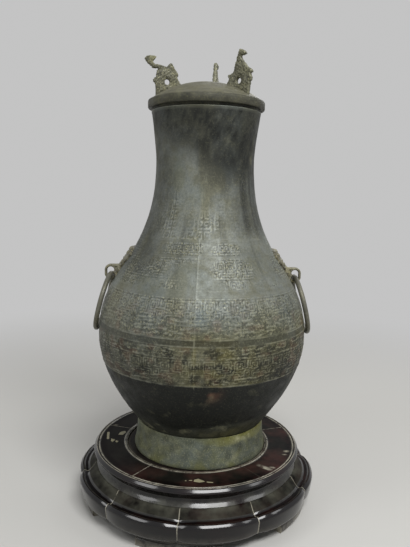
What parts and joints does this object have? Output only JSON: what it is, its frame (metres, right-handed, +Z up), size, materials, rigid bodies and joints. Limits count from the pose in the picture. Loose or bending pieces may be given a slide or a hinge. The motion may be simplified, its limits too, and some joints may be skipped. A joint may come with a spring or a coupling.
{
  "type": "hu vase",
  "caption": "Lidded pear-shaped bronze hu vase with mask-and-ring handles and bird finials, standing in the recess of a round lacquered wooden stand with petal skirt and feet.",
  "frame": {"origin": "on the floor, under the middle of the stand", "axes": "+Z up along the stand's axis, -Y towards the viewer of the front, and the two ring handles along +X and -X"},
  "size_m": [0.2716, 0.271, 0.4967],
  "materials": {
    "bronze_body": "dark grey-olive patina",
    "bronze_foot": "grey-green patina with pale green mottles",
    "bronze_lid": "lighter olive patina",
    "bronze_finial": "yellow-grey patina",
    "bronze_handle": "worn dark patina",
    "lacquer": "gloss red-black lacquer",
    "panel_wood": "satin dark wood"
  },
  "bodies": {
    "stand": {"stand_felloe_1": "lacquer", "stand_felloe_2": "lacquer", "stand_felloe_3": "lacquer", "stand_felloe_4": "lacquer", "stand_felloe_5": "lacquer", "stand_panel": "panel_wood", "stand_collar": "lacquer", "stand_batten": "panel_wood", "stand_petal_1": "lacquer", "stand_petal_2": "lacquer", "stand_petal_3": "lacquer", "stand_petal_4": "lacquer", "stand_petal_5": "lacquer", "stand_petal_6": "lacquer", "stand_petal_7": "lacquer", "stand_petal_8": "lacquer", "stand_petal_9": "lacquer", "stand_petal_10": "lacquer", "stand_foot_1": "lacquer", "stand_foot_2": "lacquer", "stand_foot_3": "lacquer", "stand_foot_4": "lacquer", "stand_foot_5": "lacquer"},
    "vessel": {"vessel_body": "bronze_body", "foot_ring": "bronze_foot", "mask_left": "bronze_handle", "mask_right": "bronze_handle"},
    "lid": {"lid": "bronze_lid", "finial_left": "bronze_finial", "finial_right": "bronze_finial", "finial_back": "bronze_finial"},
    "ring_left": {"ring_left": "bronze_handle"},
    "ring_right": {"ring_right": "bronze_handle"}
  },
  "joints": [
    {"name": "vase_lift", "type": "slide", "parent": "stand", "child": "vessel", "axis": [0, 0, 1], "range_m": [0, 0.1]},
    {"name": "lid_lift", "type": "slide", "parent": "vessel", "child": "lid", "axis": [0, 0, 1], "range_m": [0, 0.1]},
    {"name": "ring_left_swing", "type": "hinge", "parent": "vessel", "child": "ring_left", "pos_m": [-0.10015, 0, 0.25609], "axis": [0, 1, 0], "range_deg": [0, 170]},
    {"name": "ring_right_swing", "type": "hinge", "parent": "vessel", "child": "ring_right", "pos_m": [0.10755, 0, 0.25609], "axis": [0, -1, 0], "range_deg": [0, 170]}
  ]
}
